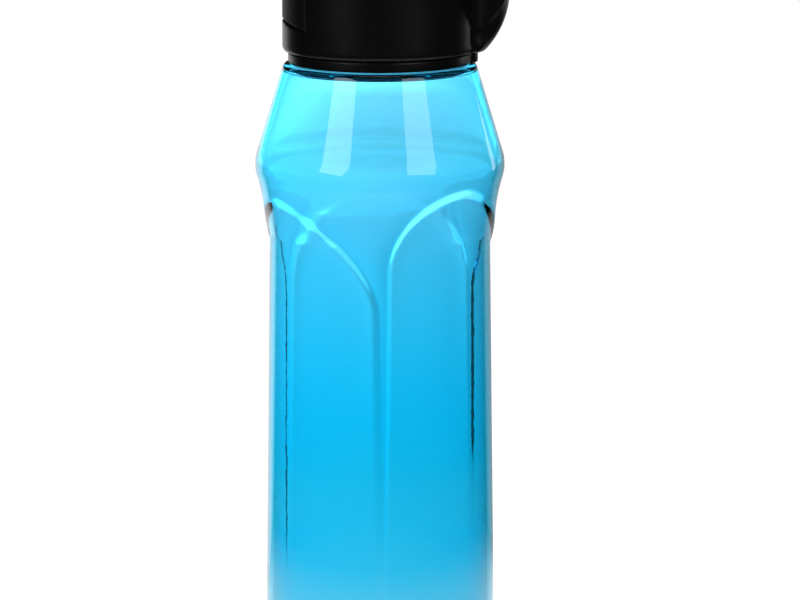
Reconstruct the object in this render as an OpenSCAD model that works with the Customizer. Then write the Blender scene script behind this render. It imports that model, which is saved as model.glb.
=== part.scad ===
// Sports water bottle: a clear blown body with three grip panels, and a screw-on
// lid with a flip cover, a release button and a one-finger carry loop.
// Frame: +Z up, z = 0 on the base plane, the bottle's axis at x = y = 0,
// the carry loop at +X, the release button at -X, the front grip rib at -Y.

/* [Bottle body] */
// Radius of the barrel below the grip panels
barrel_r = 37.85; // [36:0.05:39]
// Radius of the corner that the two shoulder cones would meet in
shoulder_r = 41.65; // [40:0.05:43]
// Height of that corner above the base
shoulder_z = 175.8; // [172:0.1:178]
// Height of the flat land at the foot of the neck
neck_z = 209.3; // [208.8:0.1:209.5]
// Wall thickness of the body away from the ribs
body_wall = 2; // [1.6:0.1:2.2]
// Height of the dome pushed up into the base
push_up = 6; // [4:0.5:8]

/* [Grip panels] */
// Radius of the panel floor at the waist
waist_r = 36.4; // [36:0.05:37]
// Height at which the panels start
panel_bottom = 36; // [30:1:50]
// Half width of a rib between two panels, in degrees round the axis
rib_half = 3.5; // [2:0.5:5]

/* [Neck and thread] */
// Outer radius of the neck between its threads
neck_r = 26; // [25.5:0.1:26]
// Inner radius of the mouth
mouth_r = 23.6; // [22:0.1:24]
// Height of the sealing rim
rim_z = 222; // [221.5:0.1:222]
// Rise of the thread in one turn
thread_pitch = 5; // [4.5:0.1:5.5]

/* [Lid] */
// Outer radius of the lid
lid_r = 32; // [31.5:0.1:32.5]
// Wall thickness of the lid's outer shell
shell_wall = 1.8; // [1.5:0.1:1.8]
// Height of the shell's lower edge
shell_z = 213.4; // [213.2:0.1:214]
// Height of the top of the shell's deck
deck_z = 238; // [237.8:0.1:238]
// Slope of the lid's top, in degrees
lid_slope = 13.25; // [12:0.25:14]

/* [Moving parts] */
// Distance of the hinge pin from the bottle's axis
hinge_x = 9; // [8.8:0.1:9]
// Height of the hinge pin
hinge_z = 257.8; // [257.6:0.1:258]
// Radius of the hinge pin
hinge_pin_r = 1.2; // [1:0.05:1.3]
// Distance of the button's pivot from the bottle's axis
button_x = 25.8; // [25.5:0.1:26]
// Height of the button's pivot
button_z = 230.2; // [230:0.1:230.5]
// Radius of the button's pivot pin
button_pin_r = 1; // [0.8:0.1:1.1]

/* [Carry loop] */
// Distance of the loop's centre from the bottle's axis
loop_x = 14.5; // [14:0.1:15]
// Height of the loop's centre
loop_z = 233; // [232:0.5:234]
// Radius to the crest of the loop's outer face
loop_r = 28; // [27.5:0.1:28.5]
// Thickness of the loop's band
loop_band = 5; // [4:0.5:5]
// Half width of the loop
loop_half = 9; // [8:0.5:10]

/* [Hidden] */
$fn = 96;
gap = 0.4;
eps = 0.01;

body_color = [0.10, 0.72, 0.95, 0.6];
lid_color = [0.05, 0.05, 0.055];
seal_color = [0.85, 0.87, 0.88];
steel_color = [0.72, 0.73, 0.75];

// Thread section: half widths at the root and at the crest, and its height
thread_root_half = 1;
thread_crest_half = 0.45;
thread_height = 1.2;
thread_z = 211.6;
neck_turns = 1.6;

// Screw collar
collar_root_r = 27.7;
collar_r = 29;
collar_z = 209.6;
flange_r = 30.1;
flange_top = 213.1;
collar_deck_z = 223.5;
collar_top = 226;
ear_boss_r = 5.2;
ear_boss_x = 27;

// Spout
spout_x = -8;
spout_r = 8.5;
spout_bore_r = 6;
spout_tip_z = 248.5;
spout_flange_r = 10.5;
gasket_h = 1.4;
spout_flange_h = 2;
spout_base_z = collar_top + gasket_h;
sleeve_r = 11;
sleeve_bore_r = spout_r + gap;

// Height of the chamfer round the shell's lower edge
shell_chamfer = 1.2;

// Vent valve
vent_x = 13;
vent_hole_r = 1.5;
vent_stem_r = 1.45;

// Head of the lid: the line of its top, and the gap where the cover ends
head_front_x = -32.2;
head_front_z = 249;
head_front_round = 9;
head_side_round = 22;
head_foot_x = 19.5;
cover_end_x = 5.8;
cover_wall = 2;
cover_z = deck_z + 0.3;
knuckle_r = 2.9;
knuckle_in = 2.7;
knuckle_out = 5.9;
lug_in = 6.3;
lug_out = 9.3;

// Button
window_half = 21;
window_z = 223.7;
window_tilt = 16.7;
plate_top = 237.1;
hook_half = 4.4;
hook_z = 242;
lug_r = 1.9;
spring_y = 8;
spring_z = 234.1;
spring_wall_x = -23;
seam = 0.35;
lower_seam = 0.6;

// Panels: [left edge, right edge, apex angle, apex height, left foot, right foot, left bow, right bow].
// Angles are counted round the axis from the front rib; a bow of 2 is an elliptical leg, less is straighter.
panels = [
    [1, 119, 45, 170, 145, 133, 1.9, 1.35],
    [119, 241, 180, 167, 134, 134, 1.6, 1.6],
    [241, 361, 300, 165.8, 132, 132, 1.6, 1.6]
];

function unit(v) = v / norm(v);

// Points of the arc that rounds corner b = [x, y, radius] between its neighbours a and c
function corner_arc(a, b, c) =
    let (u = unit([a[0] - b[0], a[1] - b[1]]),
         v = unit([c[0] - b[0], c[1] - b[1]]),
         half = acos(u * v) / 2,
         middle = [b[0], b[1]] + unit(u + v) * b[2] / sin(half),
         start = [b[0], b[1]] + u * b[2] / tan(half) - middle,
         end = [b[0], b[1]] + v * b[2] / tan(half) - middle,
         from = atan2(start[1], start[0]),
         turn = atan2(start[0] * end[1] - start[1] * end[0], start * end),
         n = max(2, ceil(abs(turn) / 9)))
    [for (i = [0:n]) middle + b[2] * [cos(from + turn * i / n), sin(from + turn * i / n)]];

// Closed outline whose corners are [x, y, radius]
function rounded(p) =
    let (n = len(p))
    [for (i = [0:n - 1])
        each (p[i][2] == 0 ? [[p[i][0], p[i][1]]] : corner_arc(p[(i + n - 1) % n], p[i], p[(i + 1) % n]))];

// Sweep of a section [[radius, height], ...] along a helix; its height above the first point fades at the ends
module helix_sweep(section, pitch, from, to, step, fade = 0) {
    n = ceil((to - from) / step);
    m = len(section);
    root = section[0][0];
    points = [
        for (i = [0:n])
            let (a = from + (to - from) * i / n,
                 f = fade == 0 ? 1 : max(0.1, min(1, (a - from) / fade, (to - a) / fade)))
            for (p = section)
                let (r = root + (p[0] - root) * f)
                [r * cos(a), r * sin(a), p[1] + pitch * a / 360]
    ];
    sides = [
        for (i = [0:n - 1], j = [0:m - 1])
            let (k = (j + 1) % m)
            each [[i * m + j, i * m + k, (i + 1) * m + k], [i * m + j, (i + 1) * m + k, (i + 1) * m + j]]
    ];
    ends = [[for (j = [m - 1:-1:0]) j], [for (j = [0:m - 1]) n * m + j]];
    polyhedron(points, concat(sides, ends), convexity = 8);
}

module tube(outer, inner, height) {
    difference() {
        cylinder(r = outer, h = height);
        translate([0, 0, -1])
            cylinder(r = inner, h = height + 2);
    }
}

// Cylinder along Y, centred on y = 0
module y_cylinder(r, half) {
    rotate([90, 0, 0])
        cylinder(r = r, h = 2 * half, center = true);
}

// The pair of blocks that stands either side of the y = 0 plane, from |y| = inner to |y| = outer
module both_sides() {
    children();
    mirror([0, 1, 0])
        children();
}

// ---- Bottle body ----

module body_outside() {
    rotate_extrude($fn = 180)
        polygon(rounded([
            [0, push_up, 0],
            [15, push_up, 10],
            [27, 0, 3],
            [barrel_r, 0, 5.5],
            [barrel_r, 163.1, 60],
            [shoulder_r, shoulder_z, 14],
            [31.5, neck_z, 1.8],
            [neck_r, neck_z, 0],
            [neck_r, rim_z, 0.6],
            [0, rim_z, 0]
        ]));
}

module body_cavity() {
    rotate_extrude($fn = 180)
        polygon(rounded([
            [0, push_up + body_wall, 0],
            [15.5, push_up + body_wall, 8],
            [26.5, body_wall + 0.4, 4],
            [waist_r - body_wall, body_wall + 0.4, 5],
            [waist_r - body_wall, 153, 30],
            [waist_r + 0.2, 170.5, 0],
            [shoulder_r - body_wall - 0.3, shoulder_z + 0.4, 6],
            [29.6, neck_z - body_wall, 1.5],
            [mouth_r, neck_z - body_wall + 0.8, 1.5],
            [mouth_r, rim_z + 1, 0],
            [0, rim_z + 1, 0]
        ]));
}

// Angle of a panel's edge at height z; side -1 is the left leg, 1 the right leg
function edge_angle(p, side, z) =
    let (foot = side < 0 ? p[4] : p[5],
         bow = side < 0 ? p[6] : p[7],
         rib = side < 0 ? p[0] + rib_half : p[1] - rib_half,
         narrow = rib_half * 0.8 * max(0, foot - z) / foot,
         rise = min(1, max(0, (z - foot) / (p[3] - foot))))
    z <= foot ? rib + side * narrow : p[2] + (rib - p[2]) * pow(1 - pow(rise, bow), 1 / bow);

// Wedge of rays from the axis through a panel's outline
module panel_wedge(p) {
    levels = [
        panel_bottom, 80, 115,
        for (i = [1:18]) let (low = min(p[4], p[5]) - 4) low + (p[3] - low) * sin(i * 4.9)
    ];
    near = 20;
    far = 90;
    n = len(levels);
    points = [
        for (z = levels, corner = [[near, -1], [far, -1], [far, 1], [near, 1]])
            let (a = edge_angle(p, corner[1], z) - 90)
            [corner[0] * cos(a), corner[0] * sin(a), z]
    ];
    sides = [
        for (i = [0:n - 2], j = [0:3])
            let (k = (j + 1) % 4)
            each [[i * 4 + j, (i + 1) * 4 + j, (i + 1) * 4 + k], [i * 4 + j, (i + 1) * 4 + k, i * 4 + k]]
    ];
    polyhedron(points, concat(sides, [[0, 1, 2, 3], [for (j = [3:-1:0]) (n - 1) * 4 + j]]), convexity = 4);
}

// Everything outside the panels' floor
module outside_floor() {
    difference() {
        translate([0, 0, panel_bottom - 5])
            cylinder(r = 60, h = 145);
        rotate_extrude($fn = 180)
            polygon([[0, 20], [barrel_r + 0.1, 20], [waist_r, 147], [waist_r, 153], [waist_r + 2.2, 171],
                     [waist_r + 2.2, 200], [0, 200]]);
    }
}

module bottle_body() {
    color(body_color)
        difference() {
            union() {
                difference() {
                    body_outside();
                    for (p = panels)
                        intersection() {
                            panel_wedge(p);
                            outside_floor();
                        }
                }
                translate([0, 0, thread_z])
                    helix_sweep([[neck_r - 0.5, -thread_root_half], [neck_r + thread_height, -thread_crest_half],
                                 [neck_r + thread_height, thread_crest_half], [neck_r - 0.5, thread_root_half]],
                                thread_pitch, 0, 360 * neck_turns, 12, 30);
            }
            body_cavity();
        }
}

// ---- Screw collar and its gasket ----

module screw_collar() {
    color(lid_color)
        union() {
            difference() {
                union() {
                    translate([0, 0, collar_z])
                        cylinder(r = collar_r, h = collar_top - collar_z);
                    translate([0, 0, collar_z])
                        cylinder(r = flange_r, h = flange_top - collar_z);
                    translate([ear_boss_x, 0, collar_z])
                        cylinder(r = ear_boss_r, h = flange_top - collar_z);
                }
                translate([0, 0, collar_z - 1])
                    cylinder(r = collar_root_r, h = collar_deck_z - collar_z + 1);
                translate([spout_x, 0, collar_deck_z - 1])
                    cylinder(r = spout_bore_r + 0.5, h = 5);
                translate([vent_x, 0, collar_deck_z - 1])
                    cylinder(r = vent_hole_r, h = 5);
                for (y = [-3, 3])
                    translate([vent_x, y, collar_deck_z - 1])
                        cylinder(r = 0.6, h = 5, $fn = 24);
            }
            translate([0, 0, thread_z + thread_pitch / 2])
                helix_sweep([[collar_root_r + 0.4, thread_root_half], [collar_root_r - thread_height, thread_crest_half],
                             [collar_root_r - thread_height, -thread_crest_half],
                             [collar_root_r + 0.4, -thread_root_half]],
                            thread_pitch, -60, 330, 12, 30);
        }
}

module neck_gasket() {
    color(seal_color)
        translate([0, 0, rim_z + 0.04])
            tube(collar_root_r - 0.4, mouth_r - 1.2, collar_deck_z - rim_z - 0.08);
}

// ---- Lid shell ----

// Top of the lid as one solid, its walls moved in by inset
module head(inset) {
    intersection() {
        translate([0, 0, deck_z - 10])
            cylinder(r = lid_r - inset, h = 40, $fn = 180);
        rotate([90, 0, 0])
            linear_extrude(height = 80, center = true)
                polygon(rounded([
                    [head_front_x + inset, deck_z - 12, 0],
                    [head_foot_x - inset, deck_z - 12, 0],
                    [head_foot_x - inset, top_line(head_foot_x - inset) - inset, 6 - inset],
                    [head_front_x + inset, top_line(head_front_x + inset) - inset, head_front_round - inset]
                ]));
        translate([head_front_x, 0, head_front_z - inset / cos(lid_slope)])
            rotate([0, -lid_slope, 0])
                rotate([90, 0, 90])
                    translate([0, 0, -20])
                        linear_extrude(height = 90)
                            polygon(rounded([
                                [-lid_r - 0.5 + inset, -45, 0],
                                [lid_r + 0.5 - inset, -45, 0],
                                [lid_r + 0.5 - inset, 0, head_side_round - inset],
                                [-lid_r - 0.5 + inset, 0, head_side_round - inset]
                            ]));
    }
}

// Height of the lid's sloping top at x
function top_line(x) = head_front_z + (x - head_front_x) * tan(lid_slope);

// Block above the tilted lower edge of the button, moved up by lift and in by side
module button_space(lift, side) {
    translate([-lid_r, 0, window_z + lift])
        rotate([0, window_tilt, 0])
            translate([-12, -window_half + side, 0])
                cube([30, 2 * (window_half - side), 40]);
}

module carry_loop() {
    crown = 2;
    crown_r = (loop_half * loop_half + crown * crown) / (2 * crown);
    crown_steps = 12;
    crown_turn = asin(loop_half / crown_r);
    web_half = loop_half - 0.4;
    section = concat(
        [[loop_r - loop_band, loop_half], [loop_r - loop_band, -loop_half]],
        [for (i = [0:crown_steps])
            let (a = crown_turn * (2 * i / crown_steps - 1))
            [loop_r - crown_r + crown_r * cos(a), crown_r * sin(a)]]
    );
    difference() {
        union() {
            intersection() {
                translate([loop_x, 0, loop_z])
                    rotate([90, 0, 0])
                        rotate([0, 0, -55])
                            rotate_extrude(angle = 155, $fn = 180)
                                polygon(section);
                translate([0, -20, shell_z])
                    cube([50, 40, 60]);
            }
            // Solid web between the loop's lower end and the shell
            intersection() {
                translate([loop_x, 0, loop_z])
                    y_cylinder(loop_r - loop_band + 1, web_half);
                translate([28, -loop_half, shell_z])
                    cube([20, 2 * loop_half, 20.5]);
            }
        }
        // Room inside the shell
        translate([0, 0, shell_z - 1])
            cylinder(r = lid_r - shell_wall, h = deck_z - shell_z - 1);
    }
}

module lid_shell() {
    color(lid_color)
        difference() {
            union() {
                difference() {
                    union() {
                        translate([0, 0, shell_z])
                            cylinder(r1 = lid_r - 0.7, r2 = lid_r, h = shell_chamfer, $fn = 180);
                        translate([0, 0, shell_z + shell_chamfer])
                            cylinder(r = lid_r, h = deck_z - shell_z - shell_chamfer, $fn = 180);
                        intersection() {
                            head(0);
                            translate([cover_end_x + gap, -40, deck_z - 1])
                                cube([40, 80, 40]);
                        }
                    }
                    translate([0, 0, shell_z - 1])
                        cylinder(r = lid_r - shell_wall, h = deck_z - shell_z - 1);
                    intersection() {
                        head(2);
                        translate([cover_end_x + gap + 2, -40, deck_z - 5])
                            cube([40, 80, 40]);
                    }
                }
                carry_loop();
                // Shelf that rests on the collar's deck
                translate([0, 0, collar_top])
                    tube(lid_r - shell_wall + eps, 27, 1.5);
                // Keys that carry the turning force to the collar
                for (a = [0:60:300])
                    rotate([0, 0, a])
                        translate([collar_r, -1, shell_z + 1])
                            cube([lid_r - shell_wall - collar_r + 0.3, 2, 5]);
                // Sleeve round the spout
                translate([spout_x, 0, spout_base_z + spout_flange_h])
                    cylinder(r = sleeve_r, h = deck_z - spout_base_z - spout_flange_h);
                // Posts for the button's pivot pin
                both_sides()
                    translate([-button_x - 1.6, 9, collar_top + 1])
                        cube([3.2, 2.2, button_z + 2 - collar_top - 1]);
                // Wall behind the button's springs
                translate([spring_wall_x, -11, button_z + 1])
                    cube([1.5, 22, deck_z - button_z - 2]);
                // Lugs that hold the hinge pin
                both_sides()
                    translate([hinge_x, (lug_in + lug_out) / 2, hinge_z])
                        y_cylinder(knuckle_r, (lug_out - lug_in) / 2);
            }
            // Window for the button, and room behind it for its swing
            difference() {
                button_space(0, 0);
                translate([0, 0, shell_z])
                    cylinder(r = lid_r - shell_wall - 0.3, h = button_z - 1.7 - shell_z);
                translate([0, 0, button_z - 1.7 - eps])
                    cylinder(r = lid_r - 3.6, h = 30);
            }
            // Slot for the hook
            translate([-lid_r, -hook_half - 0.6, deck_z - 3])
                cube([lid_r - 25.4, 2 * hook_half + 1.2, 5]);
            // Bore of the sleeve
            translate([spout_x, 0, collar_top])
                cylinder(r = sleeve_bore_r, h = 20);
            // Bores of the pivot pin and the hinge pin
            translate([-button_x, 0, button_z])
                y_cylinder(button_pin_r, 15);
            translate([hinge_x, 0, hinge_z])
                y_cylinder(hinge_pin_r, 15);
            // Room for the cover's knuckles and the spring
            translate([hinge_x, 0, hinge_z])
                y_cylinder(knuckle_r + gap, knuckle_out + 0.2);
            translate([cover_end_x, -knuckle_out - 0.2, hinge_z - 2.7])
                cube([hinge_x - cover_end_x, 2 * knuckle_out + 0.4, 8]);
        }
}

// ---- Spout, its gasket and the vent valve ----

module spout() {
    color(lid_color)
        translate([spout_x, 0, 0])
            rotate_extrude()
                polygon(rounded([
                    [spout_bore_r, spout_base_z, 0],
                    [spout_flange_r, spout_base_z, 0],
                    [spout_flange_r, spout_base_z + spout_flange_h, 0],
                    [spout_r, spout_base_z + spout_flange_h, 0],
                    [spout_r, spout_tip_z, 1.1],
                    [spout_bore_r, spout_tip_z, 1.1]
                ]));
}

module spout_gasket() {
    color(seal_color)
        translate([spout_x, 0, collar_top])
            tube(spout_flange_r - 0.3, spout_bore_r + 0.5, gasket_h);
}

module vent_valve() {
    color(seal_color)
        translate([vent_x, 0, 0])
            rotate_extrude($fn = 64)
                polygon([[0, collar_deck_z - 1.3], [2, collar_deck_z - 1.2], [4.6, collar_deck_z - 0.5],
                         [4.6, collar_deck_z], [vent_stem_r, collar_deck_z], [vent_stem_r, collar_top],
                         [2.2, collar_top], [1.3, collar_top + 2.4], [0, collar_top + 2.4]]);
}

// ---- Flip cover ----

module flip_cover() {
    ledge_half = hook_half + 1;
    color(lid_color)
        difference() {
            union() {
                difference() {
                    intersection() {
                        head(0);
                        translate([-40, -40, cover_z])
                            cube([40 + cover_end_x, 80, 40]);
                    }
                    intersection() {
                        head(cover_wall);
                        translate([-40, -40, cover_z - 5])
                            cube([60, 80, 45]);
                    }
                }
                // Ledge that the button's hook holds
                translate([-lid_r + cover_wall - 0.6, -ledge_half, hook_z - 1.9])
                    cube([2, 2 * ledge_half, 1.5]);
                // Boss that carries the seal
                translate([spout_x, 0, spout_tip_z + 1.8])
                    cylinder(r = 5, h = top_line(spout_x) - spout_tip_z - 3.2);
                // Knuckles and the leaves that join them to the top
                both_sides()
                    translate([hinge_x, (knuckle_in + knuckle_out) / 2, hinge_z])
                        y_cylinder(knuckle_r, (knuckle_out - knuckle_in) / 2);
                both_sides()
                    translate([cover_end_x - 2.5, knuckle_in, hinge_z - 2.3])
                        cube([hinge_x - cover_end_x + 2.5, knuckle_out - knuckle_in, 2.2]);
            }
            translate([hinge_x, 0, hinge_z])
                y_cylinder(hinge_pin_r + 0.05, 12);
        }
}

module cover_seal() {
    color(seal_color)
        translate([spout_x, 0, 0])
            rotate_extrude()
                polygon([[0, spout_tip_z - 0.7], [2.5, spout_tip_z - 0.6], [4.4, spout_tip_z + 0.1],
                         [spout_r + 0.2, spout_tip_z + 0.1], [spout_r + 0.2, spout_tip_z + 1.8],
                         [0, spout_tip_z + 1.8]]);
}

module hinge_pin() {
    color(steel_color)
        translate([hinge_x, 0, hinge_z])
            y_cylinder(hinge_pin_r, lug_out);
}

module cover_spring() {
    wire = 0.3;
    coil_r = 1.75;
    coil_pitch = 0.75;
    coils = 5;
    half = coils * coil_pitch / 2;
    color(steel_color)
        translate([hinge_x, 0, hinge_z]) {
            rotate([90, 0, 0])
                translate([0, 0, -half])
                    helix_sweep([for (a = [30:60:330]) [coil_r + wire * cos(a), wire * sin(a)]],
                                coil_pitch, 0, 360 * coils, 20);
            // Leg under the cover's top
            translate([0, half, -coil_r])
                rotate([0, -105, 0])
                    cylinder(r = wire * 0.9, h = 5, $fn = 16);
            // Leg against the shell
            translate([coil_r, -half, 0.2])
                rotate([0, 180, 0])
                    cylinder(r = wire * 0.9, h = 2.6, $fn = 16);
        }
}

// ---- Release button ----

module release_button() {
    plate_r = lid_r - shell_wall + 0.1;
    color(lid_color)
        difference() {
            union() {
                intersection() {
                    translate([0, 0, shell_z])
                        tube(lid_r, plate_r, plate_top - shell_z);
                    button_space(lower_seam, seam);
                }
                // Arm and hook
                translate([-plate_r - 0.5, -hook_half, 233])
                    cube([plate_r + 0.5 - 26.8, 2 * hook_half, 2.4]);
                translate([-28.2, -hook_half, 233])
                    cube([1.4, 2 * hook_half, hook_z + 1.5 - 233]);
                translate([-29.2, -hook_half, hook_z])
                    cube([1.2, 2 * hook_half, 1.5]);
                // Lugs on the pivot pin
                both_sides()
                    translate([-button_x, 7, button_z]) {
                        y_cylinder(lug_r, 1);
                        translate([-plate_r + button_x - 0.2, -1, -1.5])
                            cube([plate_r - button_x, 2, 3]);
                    }
            }
            translate([-button_x, 0, button_z])
                y_cylinder(button_pin_r + 0.05, 9);
        }
}

module button_pin() {
    color(steel_color)
        translate([-button_x, 0, button_z])
            y_cylinder(button_pin_r, 11.2);
}

module button_springs() {
    wire = 0.3;
    coil_r = 1.5;
    coils = 5;
    start_x = -28.3;
    travel = spring_wall_x - start_x - 2 * wire - 0.1;
    color(steel_color)
        for (y = [-spring_y, spring_y])
            translate([start_x + wire, y, spring_z])
                rotate([0, 90, 0])
                    helix_sweep([for (a = [30:60:330]) [coil_r + wire * cos(a), wire * sin(a)]],
                                travel / coils, 0, 360 * coils, 20);
}

bottle_body();
screw_collar();
neck_gasket();
lid_shell();
spout();
spout_gasket();
vent_valve();
flip_cover();
cover_seal();
hinge_pin();
cover_spring();
release_button();
button_pin();
button_springs();
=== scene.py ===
"""A squeeze bottle with a screw-on flip lid, dressed and lit for a plain white studio.

Lengths are in millimetres until a mesh is made, and angles are in degrees.
+Z is up, the bottle's axis is x = y = 0, the carry loop is at +X, the release button at -X and the
front grip rib at -Y. A bearing is counted round the axis from the front rib towards the carry loop.
"""

from __future__ import annotations

import logging
from collections.abc import Callable
from dataclasses import dataclass
from enum import Enum

import bmesh
import bpy
import numpy as np
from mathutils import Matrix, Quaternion, Vector


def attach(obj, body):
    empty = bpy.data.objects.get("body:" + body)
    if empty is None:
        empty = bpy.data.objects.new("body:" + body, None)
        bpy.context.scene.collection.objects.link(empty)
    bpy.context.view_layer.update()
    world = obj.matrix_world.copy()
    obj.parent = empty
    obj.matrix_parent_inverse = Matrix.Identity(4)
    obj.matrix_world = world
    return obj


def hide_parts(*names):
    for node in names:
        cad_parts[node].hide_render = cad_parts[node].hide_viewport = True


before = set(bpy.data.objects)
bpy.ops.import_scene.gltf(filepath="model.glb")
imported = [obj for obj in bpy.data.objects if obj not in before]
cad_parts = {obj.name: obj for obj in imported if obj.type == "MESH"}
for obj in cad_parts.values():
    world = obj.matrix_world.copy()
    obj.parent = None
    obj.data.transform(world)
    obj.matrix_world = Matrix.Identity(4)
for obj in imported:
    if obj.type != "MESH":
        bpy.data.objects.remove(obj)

LOG = logging.getLogger("bottle")
Array = np.ndarray
Socket = bpy.types.NodeSocket
Colour = tuple[float, float, float]
MM = 0.001
MERGE = 1e-7
FINE_STEPS = 6000
TURN_WINDOW = 41
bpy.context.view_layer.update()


class Body(Enum):
    """Moving bodies of the bottle."""

    BOTTLE = "bottle"
    SEAL_RING = "seal_ring"
    LID = "lid"
    COVER = "cover"
    BUTTON = "button"


class Slot(Enum):
    """Material slots of the record."""

    CLEAR = "clear_body"
    LID = "black_lid"
    BUTTON = "black_button"
    SPOUT = "spout"
    SEAL = "seal"
    STEEL = "steel"


class Side(Enum):
    """Leg of a grip panel's outline, as a sign of the bearing."""

    LEFT = -1
    RIGHT = 1


# ---- Numbers and curves ----


def smoothstep(x: Array | float, low: float, high: float) -> Array:
    """Rise from 0 at low to 1 at high along the cubic 3t^2 - 2t^3.

    Args:
        x: Values to map.
        low: Value that maps to 0.
        high: Value that maps to 1.

    Returns:
        The mapped values.
    """
    t = np.clip((np.asarray(x, float) - low) / (high - low), 0, 1)
    return t * t * (3 - 2 * t)


def rounded_ramp(x: Array, ease: float) -> Array:
    """Straight ramp from 0 at x = 0 to 1 at x = 1, its two corners rounded over 2 * ease.

    It is the clamped ramp averaged over a window of half width ease, which is the difference of
    the ramp's integral at x + ease and x - ease, divided by 2 * ease.

    Args:
        x: Place along the ramp.
        ease: Half width of the window.

    Returns:
        Height of the ramp, 0 to 1.
    """

    def integral(v: Array) -> Array:
        """Integral of the clamped ramp from minus infinity to v."""
        return np.where(v < 1, np.clip(v, 0, 1) ** 2 / 2, v - 0.5)

    return (integral(x + ease) - integral(x - ease)) / (2 * ease)


def fillet(a: Array, b: Array, c: Array, radius: float, count: int = 24) -> Array:
    """Arc that rounds the corner b of the line a, b, c.

    The centre lies on the bisector, radius / sin(half the corner's angle) from b, and the points run
    over the arc between the two tangent points.

    Args:
        a: Point before the corner.
        b: The corner.
        c: Point after the corner.
        radius: Radius of the arc.
        count: Number of points.

    Returns:
        Points of the arc, shape (count, 2).
    """
    u = (a - b) / np.linalg.norm(a - b)
    v = (c - b) / np.linalg.norm(c - b)
    half = np.arccos(np.clip(u @ v, -1, 1)) / 2
    middle = b + (u + v) / np.linalg.norm(u + v) * radius / np.sin(half)
    start = b + u * radius / np.tan(half) - middle
    end = b + v * radius / np.tan(half) - middle
    turn = np.arctan2(start[0] * end[1] - start[1] * end[0], start @ end)
    angles = np.arctan2(start[1], start[0]) + np.linspace(0, turn, count)
    return middle + radius * np.stack([np.cos(angles), np.sin(angles)], -1)


def rounded_line(corners: list[tuple[float, float, float]]) -> Array:
    """Open line whose corners are rounded.

    Args:
        corners: Corners as (radius, height, fillet). A fillet of 0 leaves the corner sharp.

    Returns:
        Points of the line, shape (n, 2).
    """
    points = np.array(corners, float)
    pieces = [points[:1, :2]]
    for before, corner, after in zip(points[:-2], points[1:-1], points[2:]):
        arc = fillet(before[:2], corner[:2], after[:2], corner[2]) if corner[2] else corner[None, :2]
        pieces.append(arc)
    return np.concatenate([*pieces, points[-1:, :2]])


def resample(line: Array, spacing: Callable[[Array], Array], rows: int, turn_weight: float = 4.0) -> Array:
    """Points along a line, closer together where spacing is small and where the line turns.

    The line is first cut into fine steps. Each step weighs its length over the spacing there plus
    turn_weight for each radian of turn, averaged over a few steps, and the points stand at equal
    shares of the summed weight.

    Args:
        line: Points (n, 2) of radius and height.
        spacing: Function from heights to the wanted distance between points.
        rows: Number of points.
        turn_weight: Points for each radian of turn, relative to the rest.

    Returns:
        Points of shape (rows, 2).
    """
    steps = np.linalg.norm(np.diff(line, axis=0), axis=1)
    along = np.concatenate([[0], np.cumsum(steps)])
    fine = np.linspace(0, along[-1], FINE_STEPS)
    points = np.stack([np.interp(fine, along, line[:, k]) for k in (0, 1)], -1)
    move = np.diff(points, axis=0)
    heading = np.unwrap(np.arctan2(move[:, 1], move[:, 0]))
    turning = np.abs(np.diff(heading, prepend=heading[0]))
    turning = np.convolve(turning, np.full(TURN_WINDOW, 1 / TURN_WINDOW), "same")
    weight = np.linalg.norm(move, axis=1) / spacing(points[:-1, 1]) + turning * turn_weight
    total = np.concatenate([[0], np.cumsum(weight)])
    places = np.interp(np.linspace(0, total[-1], rows), total, fine)
    return np.stack([np.interp(places, along, line[:, k]) for k in (0, 1)], -1)


# ---- Meshes ----


def make_object(name: str, points: Array, faces: list[list[int]]) -> bpy.types.Object:
    """Mesh object at the origin, in metres, smooth shaded.

    Args:
        name: Name of the piece.
        points: Vertices (n, 3) in millimetres.
        faces: Vertex numbers of each face.

    Returns:
        The object, linked to the scene.
    """
    mesh = bpy.data.meshes.new(name)
    mesh.from_pydata((points * MM).tolist(), [], faces)
    mesh.polygons.foreach_set("use_smooth", np.ones(len(mesh.polygons), bool))
    mesh.update()
    piece = bpy.data.objects.new(name, mesh)
    bpy.context.scene.collection.objects.link(piece)
    return piece


def outward(points: Array, faces: Array) -> Array:
    """Faces turned outwards: the sum of origin-to-face volumes of a closed surface is positive.

    Args:
        points: Vertices (n, 3).
        faces: Vertex numbers of triangles or quads.

    Returns:
        The faces, all of them turned round if the sum is negative.
    """
    a, b, c = points[faces[:, 0]], points[faces[:, 1]], points[faces[:, 2]]
    volume = np.einsum("ij,ij->i", a, np.cross(b, c)).sum()
    if faces.shape[1] == 4:
        volume += np.einsum("ij,ij->i", a, np.cross(c, points[faces[:, 3]])).sum()
    return faces if volume > 0 else faces[:, ::-1]


def ringed_solid(name: str, rings: Array) -> bpy.types.Object:
    """Closed surface of rings, each joined to the next, its first and last ring drawn in to a pole.

    Args:
        name: Name of the piece.
        rings: Points (rows, columns, 3); each row runs once round and closes on itself.

    Returns:
        The object.
    """
    rows, columns = rings.shape[:2]
    poles = np.stack([rings[0].mean(0), rings[-1].mean(0)])
    points = np.concatenate([rings.reshape(-1, 3), poles])
    index = np.arange(rows * columns).reshape(rows, columns)
    after = np.roll(index, -1, axis=1)
    quads = np.stack([index[:-1], after[:-1], after[1:], index[1:]], -1).reshape(-1, 4)
    first = np.stack([after[0], index[0], np.full(columns, rows * columns)], -1)
    last = np.stack([index[-1], after[-1], np.full(columns, rows * columns + 1)], -1)
    turned = outward(points, quads)
    caps = np.concatenate([first, last])
    if turned is not quads:
        caps = caps[:, ::-1]
    return make_object(name, points, turned.tolist() + caps.tolist())


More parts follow.
